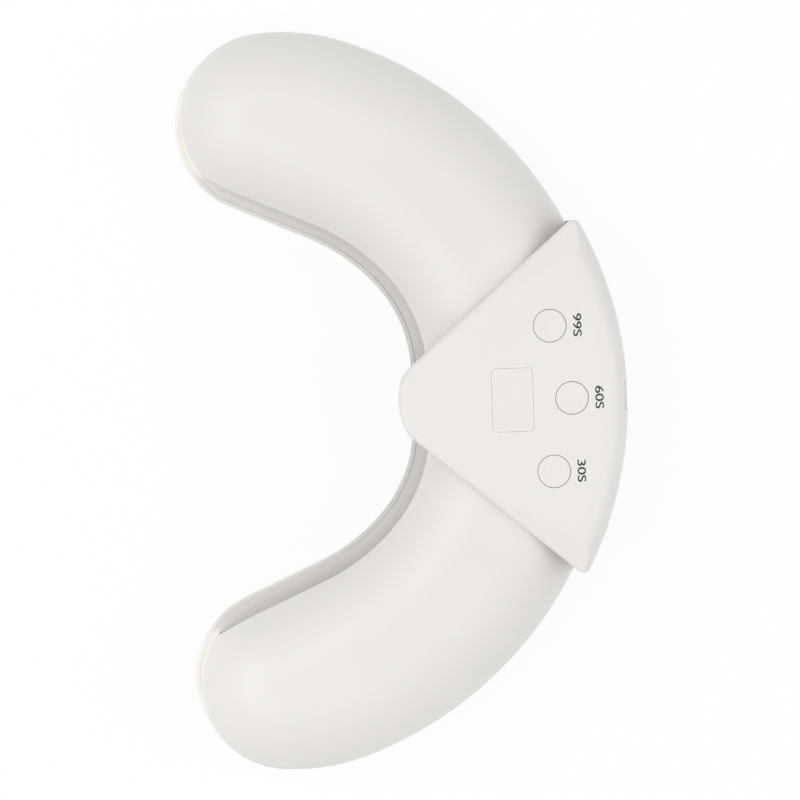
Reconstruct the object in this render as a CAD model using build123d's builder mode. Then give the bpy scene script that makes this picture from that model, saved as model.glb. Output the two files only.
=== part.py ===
from build123d import *
import os
from math import acos, atan2, cos, degrees, radians, sin, sqrt

os.makedirs("parts", exist_ok=True)

# A crescent nail lamp that lies flat: two hollow arms turn inwards about a pivot under a fan-shaped
# housing. Millimetres, +Z up, +Y to the rear where the power inlet is, -Y to the user, origin on the
# surface it stands on, under the middle of the open lamp.

# Outline of an arm's base plate, as tangent arcs: tip, shoulder and back on the outer side, then
# throat, mouth and a straight run on the inner side
half_span = 110.0
tip_radius = 26.4
tip_inset = 26.8
shoulder_radius = 60.0
shoulder_end = 19.3
back_radius = 115.0
mouth_radius = 56.3
mouth_run = 25.2
mouth_direction = 187.0
throat_radius = 40.0
throat_start = 50.0

# The hood stands back from the plate's rim at the front and along the mouth
hood_tip_radius = 25.2
hood_tip_angle = -6.5
mouth_setback = 3.0
hood_height = 30.2
hood_round = 21.0
hood_wall = 1.8
mouth_height = 16.7
mouth_start = 232.0
mouth_end_round = 10.0
plate_thickness = 2.0
lip_height = 0.3
lip_width = 1.2
lip_gap = 0.3
lip_start = 275.0

# Pivot, set in front of the arms' back, with an eye of each arm above the other's
pivot_to_back = 53.7
root_angle = 82.3
front_angle = -50.0
eye_radius = 6.9
eye_gap = 0.4
lug_thickness = 2.0
lug_width = 9.0
lower_lug_angle = 30.0
lower_lug_reach = 18.0
upper_lug_angle = 58.0
upper_lug_reach = 26.0
lower_pin_radius = 2.5
upper_pin_radius = 2.0
pin_clearance = 0.05
pin_head_radius = 4.6
pin_head_height = 0.9
washer_radius = 5.35
washer_thickness = 0.3
seat_gap = 0.05

# Housing: a cover with a plateau, and a floor under the arms
cover_wall = 1.8
skirt_wall = 1.4
back_gap = 0.6
cover_center_run = -52.3
cover_edge_angle = 40.7
cover_edge_offset = 12.6
cover_edge_opening = 3.0
nose_reach = 10.9
nose_radius = 19.0
nose_gap = 0.9
skirt_below_panel = 1.1
nose_corner_round = 3.0
back_corner_round = 2.6
crease_shift = 3.4
crease_angle = 29.0
crease_slope = 20.0
crease_round = 12.0
back_round = 7.4
rim_round = 1.6
cover_room = 2.8
floor_lift = 0.8
floor_thickness = 1.6
floor_gap = 0.15

# Lamp panel, light board and lights
panel_below_top = 8.5
panel_thickness = 2.0
panel_clearance = 0.35
board_thickness = 1.2
light_board_gap = 0.7
light_middle_inset = 28.0
light_board_width = 22.0
light_board_start = 7.5
light_board_end = 64.0
light_count = 9
light_first = 10.0
light_step = 6.3
light_row_spacing = 15.0
light_lens_radius = 2.4
light_lens_round = 2.3
light_flange_radius = 3.0
light_flange_height = 0.5
light_hole_gap = 0.3
light_drop = 1.0

# Posts, screws and feet
post_radius = 2.8
screw_radius = 1.0
screw_head_radius = 2.1
screw_head_height = 1.1
screw_gap = 0.02
screw_depth = 5.0
panel_screw_depth = 3.0
board_screw_depth = 2.0
panel_screw_angles = (23.4, 48.6)
base_post_inset = 4.2
base_post_gap = 1.1
base_post_angles = (26.0, 56.0)
tip_post_angle = -28.0
foot_radius = 4.5
foot_sink = 0.4
foot_inset = 14.0
foot_angles = (48.0, 20.0)
tip_foot_angle = -75.0
housing_foot_radius = 3.5
foot_bevel = 0.3

# Places in the housing: each run is to the rear from the pivot, each spread to one side of the middle
front_foot_run = 11.5
rear_foot_run = 36.5
rear_foot_spread = 24.0
middle_post_run = 30.4
rear_post_run = 45.1
rear_post_spread = 3.9
cover_post_radius = 1.8
front_boss_run = 11.0
rear_boss_run = 46.0
rear_boss_spread = 10.5
board_boss_radius = 2.3
board_hole_gap = 0.3
control_board_gap = 0.6
control_board_front = 8.0
control_board_side_gap = 13.8
control_board_back_gap = 6.6

# Buttons, switches, display and chips
side_button_run = 33.3
side_button_spread = 21.1
middle_button_run = 39.1
button_radius = 4.55
button_hole_gap = 0.3
button_proud = 0.2
button_bevel = 0.35
button_flange_radius = 5.2
button_flange_height = 0.8
button_flange_gap = 0.2
button_stem_radius = 1.6
button_travel = 0.4
switch_size = 4.5
switch_height = 0.8
plunger_radius = 1.2
plunger_height = 0.4
window_run = 21.9
window_width = 18.3
window_depth = 11.9
window_round = 1.3
window_thickness = 1.2
window_gap = 0.06
window_ledge = 0.8
module_width = 15.6
module_depth = 8.4
module_gap = 0.3
chip_size = 5.0
chip_height = 1.0
rear_chip_run = 39.5
rear_chip_spread = 10.3
front_chip_run = 24.5
front_chip_spread = 12.5

# Power inlet: a standard flat socket on its own board, in the middle of the rear wall
inlet_width = 7.5
inlet_height = 2.6
inlet_depth = 7.3
inlet_wall = 0.3
inlet_back_wall = 1.2
inlet_below_board = 0.8
inlet_recess = 0.3
inlet_opening_gap = 0.2
inlet_notch_depth = 1.3
inlet_notch_drop = 3.1
tongue_width = 5.0
tongue_depth = 4.6
tongue_thickness = 0.7
inlet_board_width = 10.0
inlet_board_depth = 6.4
inlet_board_gap = 0.3
inlet_rib = 1.6
inlet_rib_spread = 6.8
lead_radius = 0.45
lead_spread = 2.6

# Edges are told apart with this tolerance, and cuts run this far past what they cut
edge_tolerance = 0.01
cut_margin = 1.0
rim_steepness = 0.95
half_turn = 180.0


def point_at(center, radius, angle):
    """The point at a radius and an angle in degrees about a centre."""
    return center + Vector(radius * cos(radians(angle)), radius * sin(radians(angle)))


def heading(vector):
    """The direction of a vector in the plan, in degrees from +X."""
    return degrees(atan2(vector.Y, vector.X))


# Centres of the arm's arcs, measured to the rear from the tip circle's centre
tip_angle = -degrees(acos((shoulder_radius - tip_inset) / (shoulder_radius - tip_radius)))
tip_center = Vector(half_span - tip_inset, 0.0)
shoulder_center = point_at(tip_center, tip_radius - shoulder_radius, tip_angle)
back_center = point_at(shoulder_center, shoulder_radius - back_radius, shoulder_end)
arms_meet = Vector(0.0, back_center.Y + sqrt(back_radius**2 - back_center.X**2))
pivot = arms_meet - Vector(0.0, pivot_to_back)

# Direction of the housing's straight edge on the right, and its normal
edge_normal = Vector(cos(radians(cover_edge_angle)), -sin(radians(cover_edge_angle)))
edge_run = Vector(sin(radians(cover_edge_angle)), cos(radians(cover_edge_angle)))


def mirrored(point):
    """The same point on the other side of the middle plane."""
    return Vector(-point.X, point.Y)


def edge_meets(center, radius, offset, far):
    """Where a straight edge at an offset from the pivot meets a circle, near the nose or far from it."""
    start = pivot + edge_normal * offset - center
    half = start.dot(edge_run)
    root = sqrt(half**2 - start.dot(start) + radius**2)
    return center + start + edge_run * ((root if far else -root) - half)


# The housing's rear arc clears both arms, in the middle and at the fan's corners
cover_back_center = pivot + Vector(0.0, cover_center_run)
arm_at_edge = edge_meets(back_center, back_radius, cover_edge_offset, True)
arms_reach = max((point - cover_back_center).length for point in (arms_meet, arm_at_edge))
cover_back_radius = arms_reach + back_gap + skirt_wall

# The origin lies in the middle of the whole depth
half_depth = (tip_radius + cover_back_center.Y + cover_back_radius) / 2.0
tip_center, shoulder_center, back_center, pivot, cover_back_center = (
    center + Vector(0.0, tip_radius - half_depth)
    for center in (tip_center, shoulder_center, back_center, pivot, cover_back_center)
)
mouth_center = point_at(tip_center, sqrt((tip_radius + mouth_radius) ** 2 + mouth_run**2), mouth_direction)
throat_center = point_at(mouth_center, mouth_radius - throat_radius, throat_start)
hood_tip_center = point_at(shoulder_center, shoulder_radius - hood_tip_radius, hood_tip_angle)
nose_center = pivot + Vector(0.0, nose_radius - nose_reach)
nose_corner = edge_meets(nose_center, nose_radius, cover_edge_offset, False)
hood_clear_radius = (nose_corner - pivot).length + nose_gap
light_middle_radius = back_radius - light_middle_inset

# Heights, from the table up
floor_top = floor_lift + floor_thickness
plate_bottom = floor_top + eye_gap
plate_top = plate_bottom + plate_thickness
lug_bottom = plate_top + eye_gap
lug_top = lug_bottom + lug_thickness
mouth_top = plate_top + mouth_height
hood_top = plate_top + hood_height
panel_bottom = hood_top - panel_below_top
panel_top = panel_bottom + panel_thickness
upper_lug_bottom = panel_top + eye_gap
upper_lug_top = upper_lug_bottom + lug_thickness
light_board_bottom = panel_top + light_board_gap
light_board_top = light_board_bottom + board_thickness
control_board_bottom = hood_top + control_board_gap
control_board_top = control_board_bottom + board_thickness
plunger_top = control_board_top + switch_height + plunger_height
ceiling = control_board_top + cover_room
cover_height = ceiling + cover_wall
nose_skirt_bottom = panel_bottom - skirt_below_panel


def arc(center, radius, first, last):
    """An arc about a centre, between two angles in degrees."""
    CenterArc(center, radius, first, last - first)


def arm_profile(center, radius, angle, setback, inset):
    """Half crescent as a closed line: tip circle, shoulder, back, then throat, mouth and a tangent run.

    The tip circle has its own centre, radius and join angle. The inner side is set back, and the whole
    outline is moved inwards by the inset.
    """
    tip_r = radius - inset
    mouth_r = mouth_radius + setback + inset
    throat_r = throat_radius + setback + inset
    back_r = back_radius - inset
    span = center - mouth_center
    normal = heading(span) + degrees(acos((tip_r + mouth_r) / span.length))
    back_end = Vector(0, back_center.Y + sqrt(back_r**2 - back_center.X**2))
    throat_end = Vector(0, throat_center.Y + sqrt(throat_r**2 - throat_center.X**2))
    arc(center, tip_r, normal - half_turn, angle)
    arc(shoulder_center, shoulder_radius - inset, angle, shoulder_end)
    arc(back_center, back_r, shoulder_end, heading(back_end - back_center))
    Line(back_end, throat_end)
    arc(throat_center, throat_r, heading(throat_end - throat_center), throat_start)
    arc(mouth_center, mouth_r, throat_start, normal)
    Line(point_at(mouth_center, mouth_r, normal), point_at(center, -tip_r, normal))


def plate_face(inset=0.0, mode=Mode.ADD):
    """The base plate's outline as a face in the open sketch."""
    with BuildLine() as outline:
        arm_profile(tip_center, tip_radius, tip_angle, 0.0, inset)
    return make_face(outline.line.edges(), mode=mode)


def hood_face(inset=0.0, mode=Mode.ADD):
    """The hood's outline as a face in the open sketch."""
    with BuildLine() as outline:
        arm_profile(hood_tip_center, hood_tip_radius, hood_tip_angle, mouth_setback, inset)
    return make_face(outline.line.edges(), mode=mode)


def inner_side(first_angle, mode=Mode.ADD):
    """A face over the arm's inner half, from a ray out of the tip centre round to the pivot."""
    root_middle = Vector(0, (back_center.Y + back_radius + throat_center.Y + throat_radius) / 2.0)
    turn_middle = point_at(back_center, light_middle_radius, (shoulder_end + panel_screw_angles[-1]) / 2.0)
    with BuildLine() as outline:
        Polyline(hood_tip_center, point_at(hood_tip_center, half_span, first_angle),
                 Vector(-half_span, -half_span), Vector(-half_span, root_middle.Y), root_middle,
                 turn_middle, close=True)
    return make_face(outline.line.edges(), mode=mode)


def hood_inset_at(height):
    """How far the hood's inner surface stands in from its outline at a height."""
    rise = max(height - (hood_top - hood_round), 0.0)
    return hood_round - sqrt((hood_round - hood_wall) ** 2 - rise**2)


def post(place, radius, low, high, mode=Mode.ADD):
    """An upright cylinder between two heights."""
    with Locations((place.X, place.Y, low)):
        Cylinder(radius, high - low, align=(Align.CENTER, Align.CENTER, Align.MIN), mode=mode)


def block(center, size, low, high, mode=Mode.ADD, angle=0.0):
    """An upright block between two heights, turned about its own centre."""
    with Locations(Location((center.X, center.Y, low), (0, 0, angle))):
        Box(size[0], size[1], high - low, align=(Align.CENTER, Align.CENTER, Align.MIN), mode=mode)


def neck(angle, start, reach, low, high, mode=Mode.ADD):
    """A straight arm from one distance to another off the pivot, in the direction of an angle."""
    block(point_at(pivot, (start + reach) / 2.0, angle), (reach - start, lug_width), low, high, mode, angle)


def screw(place, seat, tip):
    """A pan-head screw that points up: its head hangs below its seat."""
    post(place, screw_radius, seat, tip)
    post(place, screw_head_radius, seat - screw_head_height, seat)


def root_cuts(clear_radius):
    """Cuts the arm's root: a plane at each end of its sweep, and a clear cylinder about the pivot."""
    for angle, turn in ((root_angle, 1), (front_angle, -1)):
        normal = (-turn * sin(radians(angle)), turn * cos(radians(angle)), 0)
        split(bisect_by=Plane(origin=(pivot.X, pivot.Y, 0), z_dir=normal), keep=Keep.BOTTOM)
    post(pivot, clear_radius, 0.0, cover_height, Mode.SUBTRACT)


def save(shape, name):
    """Labels a finished piece and writes it under its name."""
    shape.label = name
    export_step(shape, f"parts/{name}.step")


def side_copy(shape, side):
    """The right arm's piece as it is, or mirrored to the left."""
    return shape if side == "right" else shape.mirror(Plane.YZ)


def three_places(middle_run, side_run, spread):
    """Places left, in the middle and right, at their runs to the rear of the pivot."""
    side = pivot + Vector(spread, side_run)
    return (mirrored(side), pivot + Vector(0.0, middle_run), side)


def fan_face():
    """The fan's outline as a face in the open sketch."""
    back_corner = edge_meets(cover_back_center, cover_back_radius, cover_edge_offset, True)
    with BuildLine() as outline:
        Line(nose_corner, back_corner)
        ThreePointArc(back_corner, cover_back_center + Vector(0, cover_back_radius),
                      mirrored(back_corner))
        Line(mirrored(back_corner), mirrored(nose_corner))
        ThreePointArc(mirrored(nose_corner), nose_center - Vector(0, nose_radius), nose_corner)
    make_face(outline.line.edges())


def hollow_face(back_inset, front, outset):
    """The fan's inside: an arc within the rear wall, straight edges moved out, and a flat front."""
    back_r = cover_back_radius - back_inset
    offset = cover_edge_offset + outset
    back_corner = edge_meets(cover_back_center, back_r, offset, True)
    start = pivot + edge_normal * offset
    front_corner = start + edge_run * ((front - start.Y) / edge_run.Y)
    with BuildLine() as outline:
        Line(front_corner, back_corner)
        ThreePointArc(back_corner, cover_back_center + Vector(0, back_r), mirrored(back_corner))
        Line(mirrored(back_corner), mirrored(front_corner))
        Line(mirrored(front_corner), front_corner)
    return make_face(outline.line.edges())


def facet_cuts(height):
    """Slopes the roof down on both sides of the plateau, from a crease at a height."""
    for turn in (1, -1):
        normal = (turn * cos(radians(crease_angle)) * sin(radians(crease_slope)),
                  -sin(radians(crease_angle)) * sin(radians(crease_slope)), cos(radians(crease_slope)))
        origin = (turn * (nose_corner.X + crease_shift), nose_corner.Y, height)
        split(bisect_by=Plane(origin=origin, z_dir=normal), keep=Keep.BOTTOM)


def rear_roll(radius, top, roll):
    """Keeps what lies in a drum about the rear arc's centre whose upper rim is rounded."""
    section = Plane(origin=(0, cover_back_center.Y, 0), x_dir=(1, 0, 0), z_dir=(0, -1, 0))
    with BuildSketch(section) as half:
        with BuildLine() as outline:
            Polyline((0, top), (0, 0), (radius, 0), (radius, top - roll))
            RadiusArc((radius, top - roll), (radius - roll, top), -roll)
            Line((radius - roll, top), (0, top))
        make_face(outline.line.edges())
    revolve(half.sketch, Axis((0, cover_back_center.Y, 0), (0, 0, 1)), mode=Mode.INTERSECT)


def rim_edges(piece):
    """The roof's outer edges along both straight sides and round the nose."""
    found = []
    for edge in piece.edges():
        middle = edge.position_at(0.5)
        off_side = (Vector(abs(middle.X), middle.Y) - pivot).dot(edge_normal) - cover_edge_offset
        at_nose = middle.Y < nose_corner.Y + nose_corner_round
        level = abs(edge.tangent_at(0.5).Z) < rim_steepness
        if middle.Z > hood_top and level and (abs(off_side) < edge_tolerance or at_nose):
            found.append(edge)
    return found


def top_rim(piece):
    """The edges round the top face, without the one in the middle plane."""
    edges = piece.faces().sort_by(Axis.Z)[-1].edges()
    return edges.filter_by(lambda edge: abs(edge.center().X) > edge_tolerance)


def is_crease(edge):
    """Whether an edge runs level along the crease's direction."""
    run = edge.tangent_at(0.5)
    return abs(abs(run.X) - sin(radians(crease_angle))) < edge_tolerance and abs(run.Z) < edge_tolerance


plate_clear_radius = eye_radius + eye_gap
riser_start = plate_clear_radius + eye_gap
post_places = [point_at(back_center, back_radius - base_post_inset, a) for a in base_post_angles]
post_places.append(point_at(hood_tip_center, hood_tip_radius - base_post_inset, tip_post_angle))
panel_screw_places = [point_at(back_center, light_middle_radius, a) for a in panel_screw_angles]
light_rows = (light_middle_radius - light_row_spacing / 2.0, light_middle_radius + light_row_spacing / 2.0)
light_places = [
    point_at(back_center, light_rows[i % len(light_rows)], light_first + light_step * i)
    for i in range(light_count)
]
light_board_inner = light_middle_radius - light_board_width / 2.0
light_board_outer = light_middle_radius + light_board_width / 2.0
foot_places = [point_at(back_center, back_radius - foot_inset, a) for a in foot_angles]
foot_places.append(point_at(hood_tip_center, hood_tip_radius - foot_inset, tip_foot_angle))

# Hood: a domed shell, cut open along the mouth, with posts for the base screws and the panel screws
with BuildPart() as cavity:
    with BuildSketch(Plane.XY.offset(plate_top)):
        hood_face(hood_wall)
    extrude(amount=hood_top - hood_wall - plate_top)
    fillet(top_rim(cavity), hood_round - hood_wall)

with BuildPart() as dome:
    with BuildSketch(Plane.XY.offset(plate_top)):
        hood_face()
    extrude(amount=hood_top - plate_top)
    fillet(top_rim(dome), hood_round)

with BuildPart() as posts:
    for place in post_places:
        post(place, post_radius, plate_top, panel_bottom - base_post_gap)
    for place in panel_screw_places:
        post(place, post_radius, panel_top, hood_top)
    add(dome.part, mode=Mode.INTERSECT)
    for place in post_places:
        post(place, screw_radius + screw_gap, plate_top, plate_top + screw_depth + screw_gap, Mode.SUBTRACT)
    for place in panel_screw_places:
        post(place, screw_radius + screw_gap, panel_top, hood_top - hood_wall, Mode.SUBTRACT)

with BuildPart() as mouth:
    with BuildSketch(Plane.XY.offset(plate_top)):
        inner_side(mouth_start)
    extrude(amount=mouth_height)
    end_middle = point_at(hood_tip_center, half_span / 2.0, mouth_start) + Vector(0.0, 0.0, mouth_top)
    fillet(mouth.edges().sort_by_distance(end_middle)[0], mouth_end_round)

with BuildPart() as hood:
    add(dome.part)
    add(cavity.part, mode=Mode.SUBTRACT)
    add(mouth.part, mode=Mode.SUBTRACT)
    root_cuts(hood_clear_radius)
    add(posts.part)

for side in ("left", "right"):
    save(side_copy(hood.part, side), f"{side}_hood")

# Base plates: both lie in one layer. The left eye is in that layer, the right eye one layer higher.
for side in ("left", "right"):
    with BuildPart() as plate:
        with BuildSketch(Plane.XY.offset(plate_bottom)):
            plate_face()
        extrude(amount=plate_thickness)
        with BuildSketch(Plane.XY.offset(plate_top)):
            plate_face()
            plate_face(lip_width, Mode.SUBTRACT)
            hood_face(-lip_gap, Mode.SUBTRACT)
            inner_side(lip_start, mode=Mode.INTERSECT)
        extrude(amount=lip_height)
        root_cuts(plate_clear_radius)
        if side == "left":
            neck(lower_lug_angle, 0.0, lower_lug_reach, plate_bottom, plate_top)
            post(pivot, eye_radius, plate_bottom, plate_top)
            post(pivot, lower_pin_radius + pin_clearance, plate_bottom, plate_top, Mode.SUBTRACT)
        else:
            neck(lower_lug_angle, riser_start, lower_lug_reach, plate_top, lug_top)
            neck(lower_lug_angle, 0.0, lower_lug_reach, lug_bottom, lug_top)
            post(pivot, eye_radius, lug_bottom, lug_top)
            post(pivot, lower_pin_radius + pin_clearance, lug_bottom, lug_top, Mode.SUBTRACT)
        for place in post_places:
            post(place, screw_radius + screw_gap, plate_bottom, plate_top, Mode.SUBTRACT)
            post(place, screw_head_radius + screw_gap, plate_bottom, plate_bottom + screw_head_height,
                 Mode.SUBTRACT)
        for place in foot_places:
            post(place, foot_radius + screw_gap, plate_bottom, plate_bottom + foot_sink, Mode.SUBTRACT)
    save(side_copy(plate.part, side), f"{side}_base_plate")

# Lamp panels: the reflector plate over the mouth, with a hole for each light and an eye at the pivot
for side in ("left", "right"):
    with BuildPart() as panel:
        with BuildSketch(Plane.XY.offset(panel_bottom)):
            hood_face(hood_inset_at(panel_top) + panel_clearance)
        extrude(amount=panel_thickness)
        root_cuts(hood_clear_radius)
        if side == "left":
            neck(upper_lug_angle, 0.0, upper_lug_reach, panel_bottom, panel_top)
            post(pivot, eye_radius, panel_bottom, panel_top)
            post(pivot, upper_pin_radius + pin_clearance, panel_bottom, panel_top, Mode.SUBTRACT)
        else:
            neck(upper_lug_angle, riser_start, upper_lug_reach, panel_bottom, upper_lug_top)
            neck(upper_lug_angle, 0.0, upper_lug_reach, upper_lug_bottom, upper_lug_top)
            post(pivot, eye_radius, upper_lug_bottom, upper_lug_top)
            post(pivot, upper_pin_radius + pin_clearance, upper_lug_bottom, upper_lug_top, Mode.SUBTRACT)
        for place in light_places:
            post(place, light_lens_radius + light_hole_gap, panel_bottom, panel_top, Mode.SUBTRACT)
        for place in panel_screw_places:
            post(place, screw_radius + screw_gap, panel_bottom, panel_top, Mode.SUBTRACT)
    save(side_copy(panel.part, side), f"{side}_lamp_panel")

# Light board: an arc of circuit board over the panel, with room for the panel bosses
with BuildPart() as light_board:
    with BuildSketch(Plane.XY.offset(light_board_bottom)):
        with BuildLine() as board_outline:
            arc(back_center, light_board_outer, light_board_start, light_board_end)
            arc(back_center, light_board_inner, light_board_start, light_board_end)
            for end in (light_board_start, light_board_end):
                Line(point_at(back_center, light_board_inner, end),
                     point_at(back_center, light_board_outer, end))
        make_face(board_outline.line.edges())
    extrude(amount=board_thickness)
    fillet(light_board.edges().filter_by(Axis.Z), light_flange_radius)
    for place in panel_screw_places:
        post(place, post_radius + light_hole_gap, light_board_bottom, light_board_top, Mode.SUBTRACT)

# Lights: a flange under the board and a domed lens through the panel
with BuildPart() as lights:
    for place in light_places:
        post(place, light_flange_radius, light_board_bottom - light_flange_height, light_board_bottom)
        post(place, light_lens_radius, panel_bottom - light_drop, light_board_bottom - light_flange_height)
    domes = lights.edges().filter_by(GeomType.CIRCLE).group_by(Axis.Z)[0]
    fillet(domes, light_lens_round)

# Panel screws, base screws and rubber feet of one arm
with BuildPart() as panel_screws:
    for place in panel_screw_places:
        screw(place, panel_bottom, panel_top + panel_screw_depth)
with BuildPart() as base_screws:
    for place in post_places:
        screw(place, plate_bottom + screw_head_height, plate_top + screw_depth)
with BuildPart() as feet:
    for place in foot_places:
        post(place, foot_radius, 0.0, plate_bottom + foot_sink)
    chamfer(feet.edges().group_by(Axis.Z)[0], foot_sink)

for side in ("left", "right"):
    save(side_copy(light_board.part, side), f"{side}_light_board")
    save(side_copy(lights.part, side), f"{side}_lights")
    save(side_copy(panel_screws.part, side), f"{side}_panel_screws")
    save(side_copy(base_screws.part, side), f"{side}_base_screws")
    save(side_copy(feet.part, side), f"{side}_feet")

cover_screw_places = three_places(middle_post_run, rear_post_run, rear_post_spread)
board_screw_places = three_places(front_boss_run, rear_boss_run, rear_boss_spread)
housing_foot_places = three_places(front_foot_run, rear_foot_run, rear_foot_spread)
button_places = three_places(middle_button_run, side_button_run, side_button_spread)
rear_chips = three_places(rear_chip_run, rear_chip_run, rear_chip_spread)
chip_places = (rear_chips[0], rear_chips[-1], pivot + Vector(-front_chip_spread, front_chip_run))
window_center = pivot + Vector(0.0, window_run)
inlet_back = half_depth - inlet_recess - inlet_depth
inlet_middle_height = control_board_bottom - inlet_below_board - inlet_height / 2.0
inlet_board_top = inlet_middle_height - inlet_height / 2.0
inlet_board_bottom = inlet_board_top - board_thickness
inlet_board_rear = half_depth - skirt_wall - inlet_board_gap
boss_bottom = upper_lug_top + eye_gap
lip_bottom = hood_top + eye_gap
hollow_front = pivot.Y - nose_reach + cover_wall

# Inside of the cover: open at both straight edges where the arms come in, and with a lip above them
with BuildPart() as cover_hollow:
    with BuildSketch(Plane.XY.offset(floor_lift)):
        hollow_face(skirt_wall, hollow_front, cover_edge_opening)
    extrude(amount=lip_bottom - floor_lift)
    with BuildSketch(Plane.XY.offset(floor_lift)):
        hollow_face(skirt_wall, hollow_front, -skirt_wall)
    extrude(amount=ceiling - floor_lift)
    facet_cuts(ceiling)
    rear_roll(cover_back_radius - skirt_wall, ceiling, back_round - cover_wall)

# Cover: fan, plateau with a sloped facet on each side, rounded rear and rim, then the fittings
with BuildPart() as cover:
    with BuildSketch(Plane.XY.offset(floor_lift)) as fan:
        fan_face()
        corners = fan.vertices().sort_by(Axis.Y)
        fillet(corners[:2], nose_corner_round)
        corners = fan.vertices().sort_by(lambda corner: abs(corner.X))
        fillet(corners[-2:], back_corner_round)
    extrude(amount=cover_height - floor_lift)
    facet_cuts(cover_height)
    fillet(cover.edges().filter_by(is_crease), crease_round)
    rear_roll(cover_back_radius, cover_height, back_round)
    fillet(rim_edges(cover), rim_round)
    add(cover_hollow.part, mode=Mode.SUBTRACT)
    block(pivot - Vector(0.0, nose_reach), (half_span, 2.0 * nose_reach), 0.0, nose_skirt_bottom,
          Mode.SUBTRACT)
    for place in button_places:
        post(place, button_radius + button_hole_gap, control_board_top, cover_height + cut_margin,
             Mode.SUBTRACT)
    with BuildSketch(Plane.XY.offset(cover_height - window_thickness)):
        with Locations((window_center.X, window_center.Y)):
            RectangleRounded(window_width + 2.0 * window_gap, window_depth + 2.0 * window_gap,
                             window_round + window_gap)
    extrude(amount=window_thickness, mode=Mode.SUBTRACT)
    block(window_center, (window_width - 2.0 * window_ledge, window_depth - 2.0 * window_ledge),
          control_board_top, cover_height, Mode.SUBTRACT)
    block(Vector(0.0, half_depth), (inlet_width + 2.0 * inlet_opening_gap, 2.0 * skirt_wall + cut_margin),
          inlet_board_top - inlet_opening_gap, inlet_board_top + inlet_height + inlet_opening_gap,
          Mode.SUBTRACT)
    block(Vector(0.0, half_depth), (inlet_width + 2.0 * inlet_opening_gap, 2.0 * inlet_notch_depth),
          inlet_middle_height, cover_height - inlet_notch_drop, Mode.SUBTRACT)
    post(pivot, pin_head_radius, boss_bottom, ceiling + cover_wall / 2.0)
    post(pivot, upper_pin_radius + screw_gap, boss_bottom, ceiling, Mode.SUBTRACT)
    for place in cover_screw_places:
        post(place, cover_post_radius, floor_top, ceiling + cover_wall / 2.0)
        post(place, screw_radius + screw_gap, floor_top, floor_top + screw_depth + screw_gap, Mode.SUBTRACT)
    for place in board_screw_places:
        post(place, board_boss_radius, control_board_top, ceiling + cover_wall / 2.0)
        post(place, screw_radius + screw_gap, control_board_top, ceiling, Mode.SUBTRACT)
    for turn in (1, -1):
        block(Vector(turn * inlet_rib_spread / 2.0, half_depth - (inlet_board_depth + inlet_board_gap
                                                                  + skirt_wall) / 2.0),
              (inlet_rib, inlet_board_depth + inlet_board_gap), inlet_board_bottom - inlet_rib,
              inlet_board_bottom)
save(cover.part, "housing_cover")

# Floor of the housing, under both arms, with the pivot hole and the screw holes
with BuildPart() as floor:
    with BuildSketch(Plane.XY.offset(floor_lift)):
        hollow_face(skirt_wall + floor_gap, pivot.Y - eye_radius, -cover_wall)
    extrude(amount=floor_thickness)
    post(pivot, lower_pin_radius + screw_gap, floor_lift, floor_top, Mode.SUBTRACT)
    for place in cover_screw_places:
        post(place, screw_radius + screw_gap, floor_lift, floor_top, Mode.SUBTRACT)
        post(place, screw_head_radius + screw_gap, floor_lift, floor_lift + screw_head_height,
             Mode.SUBTRACT)
save(floor.part, "housing_floor")

# Pins and washers of the pivot
with BuildPart() as lower_pin:
    post(pivot, pin_head_radius, floor_lift - pin_head_height / 2.0, floor_lift)
    post(pivot, lower_pin_radius, floor_lift, lug_top + eye_gap)
    post(pivot, pin_head_radius, lug_top + eye_gap, lug_top + eye_gap + pin_head_height)
    fillet(lower_pin.edges().group_by(Axis.Z)[-1], pin_head_height / 2.0)
save(lower_pin.part, "lower_pivot_pin")

with BuildPart() as upper_pin:
    post(pivot, pin_head_radius, panel_bottom - eye_gap - pin_head_height, panel_bottom - eye_gap)
    post(pivot, upper_pin_radius, panel_bottom - eye_gap, ceiling - cover_wall)
    fillet(upper_pin.edges().group_by(Axis.Z)[0], pin_head_height / 2.0)
save(upper_pin.part, "upper_pivot_pin")

lower_seats = (floor_top, plate_top, lug_top)
upper_seats = (panel_bottom - eye_gap, panel_top, upper_lug_top)
with BuildPart() as washers:
    for seats, bore in ((lower_seats, lower_pin_radius), (upper_seats, upper_pin_radius)):
        for seat in seats:
            post(pivot, washer_radius, seat + seat_gap, seat + seat_gap + washer_thickness)
            post(pivot, bore + seat_gap, seat + seat_gap, seat + seat_gap + washer_thickness,
                 Mode.SUBTRACT)
save(washers.part, "pivot_washers")

# Control board under the plateau, with its switches, chips and display
with BuildPart() as control_board:
    with BuildSketch(Plane.XY.offset(control_board_bottom)):
        hollow_face(control_board_back_gap, pivot.Y + control_board_front, -control_board_side_gap)
    extrude(amount=board_thickness)
    for place in cover_screw_places:
        post(place, cover_post_radius + board_hole_gap, control_board_bottom, control_board_top,
             Mode.SUBTRACT)
    for place in board_screw_places:
        post(place, screw_radius + screw_gap, control_board_bottom, control_board_top, Mode.SUBTRACT)
save(control_board.part, "control_board")

with BuildPart() as switches:
    for place in button_places:
        block(place, (switch_size, switch_size), control_board_top, control_board_top + switch_height)
        post(place, plunger_radius, control_board_top + switch_height, plunger_top)
save(switches.part, "button_switches")

with BuildPart() as chips:
    for place in chip_places:
        block(place, (chip_size, chip_size), control_board_top, control_board_top + chip_height)
save(chips.part, "board_chips")

with BuildPart() as display:
    block(window_center, (module_width, module_depth), control_board_top, ceiling - module_gap)
save(display.part, "display_module")

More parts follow.
